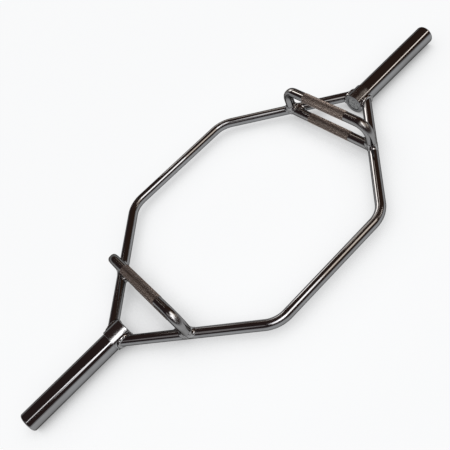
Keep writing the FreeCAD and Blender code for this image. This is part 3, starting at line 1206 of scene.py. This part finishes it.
@dataclass
class Grips:
    """The low grip of one end and the raised grip above it, each with a knurled band.

    Attributes:
        layout: shared places.
        end: of the bar.
        bend_radius: of the raised grip's axis at its corners.
        bend_count: of rings inside each bend.
        smooth_end: between a knurled band and the raised grip's bend.
        press: how the raised grip's bends are flattened.
        knurl: the diamonds.
        step: between rings along a grip.
        columns: points round a grip.
    """

    layout: Layout
    end: End
    bend_radius: float = 34 * MM
    bend_count: int = 32
    smooth_end: float = 36.5 * MM
    press: Press = Press()
    knurl: Knurl = Knurl()
    step: float = 4 * MM
    columns: int = 96

    @property
    def plane(self) -> Plane:
        """The upright plane of both grips' axes, at the right end."""
        layout = self.layout
        return Plane(np.array([layout.grip_x, 0.0, layout.axis_height]), ACROSS, UP)

    def low(self) -> Skin:
        """The straight grip, from leg axis to leg axis.

        Returns:
            The grip's skin.
        """
        foot = self.layout.foot_y
        line = rounded_line([(-foot, 0.0), (foot, 0.0)], [], self.step)
        return round_bar(line, self.plane, self.layout.grip_radius, self.columns).at(self.end)

    def raised(self) -> Skin:
        """The bent grip, with its feet on the legs' axes.

        Returns:
            The grip's skin.
        """
        foot = self.layout.foot_y
        rise = self.layout.rise
        corners = [(-foot, 0.0), (-foot, rise), (foot, rise), (foot, 0.0)]
        line = rounded_line(corners, [self.bend_radius] * 2, self.step, self.bend_count)
        radius = self.layout.grip_radius
        return round_bar(line, self.plane, radius, self.columns, press=self.press).at(self.end)

    def band(self, height: float) -> Skin:
        """The knurled band on the grip whose axis stands that high above the low one.

        Args:
            height: above the low grip's axis.

        Returns:
            The band's skin.
        """
        layout = self.layout
        length = 2 * (layout.foot_y - self.bend_radius - self.smooth_end)
        place = self.plane.origin + UP * height
        return self.knurl.skin(place, layout.grip_radius, layout.knurl_height, length).at(self.end)

    def dress(self, workshop: Workshop) -> None:
        """Add both grips and their bands with their finishes.

        Args:
            workshop: that adds the pieces.
        """
        label = self.end.label
        workshop.add(f"{label}_low_grip", [self.low()], SATIN, (f"{label}_low_handle",))
        workshop.add(f"{label}_raised_grip", [self.raised()], SATIN, (f"{label}_raised_handle",))
        workshop.add(f"{label}_low_knurl", [self.band(0.0)], KNURLED)
        workshop.add(f"{label}_raised_knurl", [self.band(self.layout.rise)], KNURLED)


@dataclass
class Welds:
    """The weld beads of one leg: at its collar, round the raised grip's foot and round the low grip's end.

    Attributes:
        layout: shared places.
        end: of the bar.
        side: of the hexagon.
        collar_bead: at the collar.
        grip_bead: at the grips.
        samples: points along each seam.
    """

    layout: Layout
    end: End
    side: Side
    collar_bead: WeldBead = WeldBead(size=6.5 * MM, pitch=12.0 * MM, relief=0.32, fullness=0.75)
    grip_bead: WeldBead = WeldBead(size=9.0 * MM, pitch=9.0 * MM, relief=0.06, fullness=0.10)
    samples: int = 320

    @property
    def hand(self) -> int:
        """Sign of Y before the piece is turned to its end."""
        return self.side.value * self.end.value

    @property
    def across_leg(self) -> np.ndarray:
        """Outward direction across the leg, in the frame's plane, for the right end."""
        angle = self.layout.leg_angle
        return np.array([math.sin(angle), self.hand * math.cos(angle), 0.0])

    @property
    def foot(self) -> np.ndarray:
        """Where the axes of the leg, the low grip and the raised grip's foot meet, for the right end."""
        layout = self.layout
        return np.array([layout.grip_x, self.hand * layout.foot_y, layout.axis_height])

    def collar_seam(self) -> Skin:
        """The bead where the leg's wall meets the collar's.

        Returns:
            The bead's skin.
        """
        layout = self.layout
        turn = angles(self.samples)
        along_leg = np.array([-math.cos(layout.leg_angle), self.hand * math.sin(layout.leg_angle), 0.0])
        leg_wall = np.cos(turn)[:, None] * self.across_leg + np.sin(turn)[:, None] * UP
        distance = layout.leg_to_collar(turn, layout.collar_radius)[:, None]
        seam = layout.leg_cross * ALONG + distance * along_leg + layout.bar_radius * leg_wall
        collar_wall = unit(seam * (ACROSS + UP))
        bead = self.collar_bead.skin(seam + UP * layout.axis_height, leg_wall, collar_wall)
        return bead.at(self.end)

    def foot_seam(self) -> Skin:
        """The bead where the raised grip's foot stands on the leg and the low grip.

        At angle a round the foot, the wall of the leg or of the low grip stands as high as its circle
        does that far from its axis, and the seam follows the higher of the two.

        Returns:
            The bead's skin.
        """
        layout = self.layout
        turn = angles(self.samples)
        foot_wall = np.stack([np.cos(turn), np.sin(turn), np.zeros_like(turn)], axis=1)
        from_leg = layout.grip_radius * foot_wall @ self.across_leg
        from_grip = layout.grip_radius * foot_wall[:, 0]
        leg_height = np.sqrt(layout.bar_radius**2 - from_leg**2)
        beside = self.hand * foot_wall[:, 1] < 0
        grip_height = np.where(beside, np.sqrt(np.maximum(layout.grip_radius**2 - from_grip**2, 0)), 0)
        height = np.maximum(leg_height, grip_height)[:, None]
        leg_wall = unit(from_leg[:, None] * self.across_leg + height * UP)
        grip_wall = unit(from_grip[:, None] * ALONG + height * UP)
        wall = np.where((leg_height >= grip_height)[:, None], leg_wall, grip_wall)
        seam = self.foot + layout.grip_radius * foot_wall + height * UP
        return self.grip_bead.skin(seam, foot_wall, wall).at(self.end)

    def grip_seam(self) -> Skin:
        """The bead where the low grip's end meets the leg.

        A point of the grip's wall at angle a meets the leg where its distance across the leg and its
        height give the leg's radius.

        Returns:
            The bead's skin.
        """
        layout = self.layout
        turn = angles(self.samples)
        grip_wall = np.stack([np.cos(turn), np.zeros_like(turn), np.sin(turn)], axis=1)
        height = layout.grip_radius * np.sin(turn)
        from_leg = -np.sqrt(layout.bar_radius**2 - height**2)
        aside = layout.grip_radius * np.cos(turn) * math.sin(layout.leg_angle)
        back = (from_leg - aside) / math.cos(layout.leg_angle)
        seam = self.foot + layout.grip_radius * grip_wall + (self.hand * back)[:, None] * ACROSS
        leg_wall = unit(from_leg[:, None] * self.across_leg + height[:, None] * UP)
        return self.grip_bead.skin(seam, grip_wall, leg_wall).at(self.end)

    def dress(self, workshop: Workshop) -> None:
        """Add the beads with their finish.

        Args:
            workshop: that adds the pieces.
        """
        label = f"{self.end.label}_{self.side.label}"
        grip_beads = [self.foot_seam(), self.grip_seam()]
        workshop.add(f"{label}_collar_bead", [self.collar_seam()], WELD, (f"{label}_collar_weld",))
        workshop.add(f"{label}_grip_bead", grip_beads, WELD, (f"{label}_handle_weld",))


@dataclass(frozen=True)
class Softbox:
    """A rectangular studio lamp.

    Attributes:
        name: of the lamp.
        place: of its middle.
        aim: point that it faces.
        size: width and height.
        radiance: about what a mirror would show of it.
        colour: of its light.
        along: direction of its width, as far as the aim allows.
        beam: angle of the beam that its grid lets through, in degrees.
    """

    name: str
    place: Place
    aim: Place
    size: Pair
    radiance: float
    colour: Colour
    along: Place = (1.0, 0.0, 0.0)
    beam: float = 180.0

    def hang(self) -> None:
        """Add the lamp, out of the camera's sight.

        Its watts go with its area, its radiance and the share of its light that the grid lets through.
        """
        half = math.radians(self.beam) / 2
        width, height = self.size
        light = bpy.data.lights.new(self.name, "AREA")
        light.shape = "RECTANGLE"
        light.size = width
        light.size_y = height
        light.energy = LAMP_WATTS * width * height * self.radiance * (1 - half / math.tan(half))
        light.spread = 2 * half
        light.color = self.colour
        lamp = add_object(self.name, light)
        back = (Vector(self.place) - Vector(self.aim)).normalized()
        up = back.cross(Vector(self.along)).normalized()
        turn = Matrix((up.cross(back), up, back)).transposed().to_4x4()
        lamp.matrix_world = Matrix.Translation(Vector(self.place)) @ turn
        lamp.visible_camera = False


@dataclass
class Studio:
    """A pale floor with a low cove, a dim warm room and its softboxes.

    Attributes:
        floor_radius: of the flat floor.
        floor_step: between rings of the flat floor.
        floor_columns: points round the floor.
        cove_height: of the rim that hides the floor's far edge.
        cove_round: radius of the cove, as a share of its height.
        cove_count: of rings inside the cove's rounding.
        floor_colour: of its paint.
        floor_glow: share of the floor's paleness that is an emitted glow, even apart from the painted
            shadow under the bar.
        glow_colour: of that share.
        glow_reach: distances from the middle between which the glow dims, a painted falloff of light.
        glow_far: what is left of it further out.
        shade_reach: how far from the bar its painted shadow goes.
        shade: what is left of the even share in the deepest painted shadow.
        shade_samples: rays that feel for the bar.
        room_left: colour of the room on the left.
        room_right: colour of the room on the right.
        lamps: the softboxes. Cards are small ones near the bar, each for one highlight.
    """

    floor_radius: float = 16.0
    floor_step: float = 2.0
    floor_columns: int = 96
    cove_height: float = 2.8
    cove_round: float = 0.6
    cove_count: int = 24
    floor_colour: Colour = (0.86, 0.86, 0.86)
    floor_glow: float = 0.95
    glow_colour: Colour = (0.985, 0.992, 1.0)
    glow_reach: Pair = (1.6, 13.0)
    glow_far: float = 0.55
    shade_reach: float = 0.11
    shade: float = 0.30
    shade_samples: int = 8
    room_left: Colour = (0.054, 0.038, 0.044)
    room_right: Colour = (0.072, 0.038, 0.024)
    lamps: tuple[Softbox, ...] = (
        Softbox(
            name="key_softbox", place=(0.56, -2.75, 5.34), aim=(0.0, 0.0, 0.0), size=(1.85, 3.0),
            radiance=3.1, colour=(1.0, 0.98, 0.96),
        ),
        Softbox(
            name="key_warm", place=(2.25, -2.60, 5.06), aim=(0.0, 0.0, 0.0), size=(1.6, 3.0),
            radiance=1.45, colour=(1.0, 0.87, 0.74),
        ),
        Softbox(
            name="left_strip", place=(-1.02, -1.48, 2.50), aim=(-0.58, 0.0, 0.03), size=(1.35, 0.25),
            radiance=3.4, colour=(1.0, 0.99, 0.99), along=(-0.66, 0.75, 0.2), beam=40.0,
        ),
        Softbox(
            name="collar_card", place=(-0.47, -0.56, 0.62), aim=(-0.60, 0.0, 0.05), size=(0.08, 0.55),
            radiance=7.5, colour=(1.0, 0.99, 0.99), beam=76.0,
        ),
        Softbox(
            name="collar_softbox", place=(-0.71, -1.96, 2.20), aim=(-0.43, 0.0, 0.05), size=(0.9, 0.9),
            radiance=4.0, colour=(1.0, 0.99, 0.99), beam=14.0,
        ),
        Softbox(
            name="right_strip", place=(1.70, -1.18, 1.20), aim=(0.58, 0.0, 0.05), size=(0.85, 0.22),
            radiance=2.4, colour=(1.0, 0.90, 0.80), along=(0.41, 0.34, 0.17),
        ),
        Softbox(
            name="back_card", place=(0.39, 0.91, 0.52), aim=(0.30, -0.16, 0.03), size=(0.55, 0.44),
            radiance=4.6, colour=(1.0, 0.95, 0.90), along=(0.85, 0.53, 0.0), beam=42.0,
        ),
        Softbox(
            name="back_high", place=(0.12, 2.05, 2.50), aim=(0.32, 0.09, 0.06), size=(0.5, 0.5),
            radiance=7.0, colour=(1.0, 0.94, 0.86), beam=20.0,
        ),
        Softbox(
            name="back_right", place=(1.20, 1.95, 1.40), aim=(0.24, 0.21, 0.03), size=(0.6, 1.0),
            radiance=1.8, colour=(1.0, 0.90, 0.80), beam=20.0,
        ),
        Softbox(
            name="high_right", place=(1.30, 1.60, 2.40), aim=(0.34, -0.08, 0.08), size=(0.5, 0.5),
            radiance=2.0, colour=(1.0, 0.90, 0.80), beam=12.0,
        ),
        Softbox(
            name="bend_card", place=(0.353, -0.537, 0.892), aim=(0.317, -0.13, 0.09), size=(0.16, 0.16),
            radiance=7.0, colour=(1.0, 0.98, 0.96), beam=8.0,
        ),
        Softbox(
            name="front_bend_card", place=(-0.258, -0.521, 0.526), aim=(-0.161, -0.282, 0.04),
            size=(0.34, 0.28), radiance=4.5, colour=(1.0, 0.98, 0.99), beam=50.0,
        ),
        Softbox(
            name="rear_bend_card", place=(0.035, 0.142, 0.557), aim=(0.161, 0.282, 0.04),
            size=(0.22, 0.22), radiance=3.4, colour=(1.0, 0.98, 0.96), beam=50.0,
        ),
        Softbox(
            name="rear_leg_card", place=(0.095, -0.155, 0.513), aim=(0.386, 0.072, 0.04),
            size=(0.24, 0.26), radiance=1.3, colour=(1.0, 0.95, 0.90), beam=50.0,
        ),
        Softbox(
            name="left_card", place=(-1.60, -0.40, 1.60), aim=(-0.3, -0.15, 0.0), size=(0.9, 0.9),
            radiance=0.36, colour=(1.0, 0.96, 0.94),
        ),
    )

    def build(self) -> None:
        """Set up the floor, the room and the lamps."""
        self.lay_floor()
        self.paint_room()
        for lamp in self.lamps:
            lamp.hang()
        LOG.info("studio: floor, room and %d softboxes", len(self.lamps))

    def lay_floor(self) -> None:
        """A disc that curves up at its rim: (radius cos a, radius sin a, height) along its outline."""
        outline = rounded_line(
            [(0.0, 0.0), (self.floor_radius, 0.0), (self.floor_radius, self.cove_height)],
            [self.cove_round * self.cove_height], self.floor_step, self.cove_count,
        )
        turn = angles(self.floor_columns)[None]
        radius, height = (outline.points[:, axis, None] for axis in (0, 1))
        points = np.stack([*circled(radius, turn), height + np.zeros_like(turn)], axis=-1)
        rows, columns = points.shape[:2]
        numbers = np.arange(rows * columns).reshape(rows, columns)
        numbers[0] = 0
        quads = np.stack([
            numbers[:-1], numbers[1:], np.roll(numbers[1:], -1, 1), np.roll(numbers[:-1], -1, 1)
        ], axis=-1)
        fan = quads[0][:, :3].tolist()
        mesh = bpy.data.meshes.new("floor")
        mesh.from_pydata(points.reshape(-1, 3).tolist(), [], fan + quads[1:].reshape(-1, 4).tolist())
        mesh.polygons.foreach_set("use_smooth", np.ones(len(mesh.polygons), dtype=bool))
        mesh.materials.append(self.floor_paint())
        floor = add_object("floor", mesh)

    def floor_paint(self) -> bpy.types.Material:
        """Matt paint whose paleness is mostly even for the eye, mirrors and glass.

        The even share is an emitted glow. It dims with distance from the middle, a painted falloff of
        light, and in a soft painted shadow round the bar that ambient occlusion gives.

        Returns:
            The material.
        """
        material = bpy.data.materials.new("floor_paint")
        board = NodeBoard(material)
        rays = board.add("ShaderNodeLightPath").outputs
        seen = board.combine("MAXIMUM", rays["Is Camera Ray"], rays["Is Glossy Ray"])
        seen = board.combine("MAXIMUM", seen, rays["Is Transmission Ray"])
        share = board.combine("MULTIPLY", seen, self.floor_glow)
        paint = board.add("ShaderNodeBsdfDiffuse", {"Color": (*self.floor_colour, 1.0)})
        place = board.add("ShaderNodeTexCoord").outputs["Object"]
        # Painted falloff of light: the glow dims with distance from the middle.
        reach = board.add("ShaderNodeVectorMath", {0: place}, operation="LENGTH").outputs["Value"]
        far = board.spread(reach, *self.glow_reach, 1.0, self.glow_far)
        # Painted shadow: ambient occlusion round the bar darkens the glow.
        reached = {"Distance": self.shade_reach}
        near = board.add("ShaderNodeAmbientOcclusion", reached, samples=self.shade_samples)
        shade = board.spread(near.outputs["AO"], 0.0, 1.0, self.shade, 1.0)
        level = board.combine("MULTIPLY", far, shade)
        glow = board.add("ShaderNodeEmission", {"Color": (*self.glow_colour, 1.0), "Strength": level})
        mixed = board.add("ShaderNodeMixShader", {
            0: share, 1: paint.outputs["BSDF"], 2: glow.outputs["Emission"]
        })
        board.add("ShaderNodeOutputMaterial", {"Surface": mixed.outputs["Shader"]})
        return material

    def paint_room(self) -> None:
        """A dim room that is warmer on the right: its colour follows the X of the direction."""
        world = bpy.data.worlds.new("studio_room")
        bpy.context.scene.world = world
        board = NodeBoard(world)
        direction = board.add("ShaderNodeTexCoord").outputs["Generated"]
        sideways = board.add("ShaderNodeSeparateXYZ", {"Vector": direction}).outputs["X"]
        share = board.add("ShaderNodeMapRange", {"Value": sideways, "From Min": -1.0}).outputs["Result"]
        colour = board.blend(share, self.room_left, self.room_right)
        background = board.add("ShaderNodeBackground", {"Color": colour})
        board.add("ShaderNodeOutputWorld", {"Surface": background.outputs["Background"]})


@dataclass(frozen=True)
class Viewpoint:
    """The photograph's camera.

    Attributes:
        aim: point in the middle of the image.
        distance: from the camera to that point.
        azimuth: of the view, in degrees from +Y towards +X.
        elevation: of the camera above the point, in degrees.
        roll: of the image about the view, in degrees.
        lens: focal length, in millimetres.
        sensor: its width, in millimetres.
        clip: nearest and furthest distance that is drawn.
    """

    aim: Place = (-0.06457, 0.01175, 0.028)
    distance: float = 1.44883
    azimuth: float = 18.0105
    elevation: float = 48.9583
    roll: float = -30.5768
    lens: float = 46.5173
    sensor: float = 36.0
    clip: Pair = (0.05, 100.0)

    def place(self) -> None:
        """Add the camera: forward from azimuth and elevation, and right turned by the roll."""
        azimuth, elevation, roll = (math.radians(a) for a in (self.azimuth, self.elevation, self.roll))
        level = Vector((math.sin(azimuth), math.cos(azimuth), 0.0))
        forward = level * math.cos(elevation) - Vector((0.0, 0.0, math.sin(elevation)))
        level_right = Vector((math.cos(azimuth), -math.sin(azimuth), 0.0))
        right = level_right * math.cos(roll) + level_right.cross(forward) * math.sin(roll)
        turn = Matrix((right, right.cross(forward), -forward)).transposed().to_4x4()
        data = bpy.data.cameras.new("camera")
        data.sensor_width = self.sensor
        data.lens = self.lens
        data.clip_start, data.clip_end = self.clip
        camera = add_object("camera", data)
        camera.matrix_world = Matrix.Translation(Vector(self.aim) - forward * self.distance) @ turn
        bpy.context.scene.camera = camera


def main() -> None:
    """Build the bar piece by piece, then the studio and the camera."""
    logging.basicConfig(level=logging.INFO, format="%(name)s: %(message)s")
    bpy.context.scene.view_settings.view_transform = "Standard"
    layout = Layout.from_frame()
    workshop = Workshop()
    for side in Side:
        SideBar(layout, side).dress(workshop)
    for end in End:
        SleeveEnd(layout, end).dress(workshop)
        Grips(layout, end).dress(workshop)
        for side in Side:
            Welds(layout, end, side).dress(workshop)
    Studio().build()
    Viewpoint().place()


if __name__ == "__main__":
    main()
